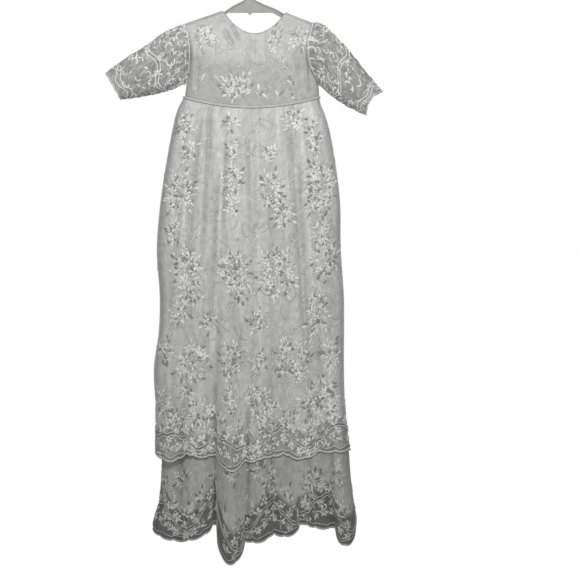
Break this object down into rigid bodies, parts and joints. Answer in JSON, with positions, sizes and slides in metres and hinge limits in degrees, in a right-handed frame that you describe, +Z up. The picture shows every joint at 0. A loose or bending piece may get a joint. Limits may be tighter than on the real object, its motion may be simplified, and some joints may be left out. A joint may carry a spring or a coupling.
{
  "type": "christening gown on a hanger",
  "caption": "Long lace christening gown with a plain satin-lined bodice, short lace sleeves and a two-tier skirt over a lining, hung on a moulded hanger.",
  "frame": {"origin": "inside top of the hanger's hook, where a rail holds it", "axes": "+Z up along the gown, +X towards the gown's right edge as seen from the front, -Y out of its front"},
  "size_m": [0.516, 0.1251, 1.1113],
  "materials": {
    "satin": "pale satin",
    "skirt_lining": "satin",
    "lace_upper": "embroidered net",
    "lace_lower": "embroidered net",
    "lace_sleeve": "embroidered net",
    "braid": "beaded braid",
    "button": "pearl",
    "hanger": "satin moulded"
  },
  "bodies": {
    "root": {"hanger": "hanger", "bodice_front": "satin", "bodice_back_left": "satin", "bodice_back_right": "satin", "back_placket": "satin", "back_button_1": "button", "back_button_2": "button", "back_button_3": "button", "waist_braid": "braid", "skirt_upper_tier": "lace_upper", "skirt_lower_tier": "lace_lower", "skirt_lining": "skirt_lining", "sleeve_left": "lace_sleeve", "sleeve_right": "lace_sleeve"}
  },
  "joints": []
}
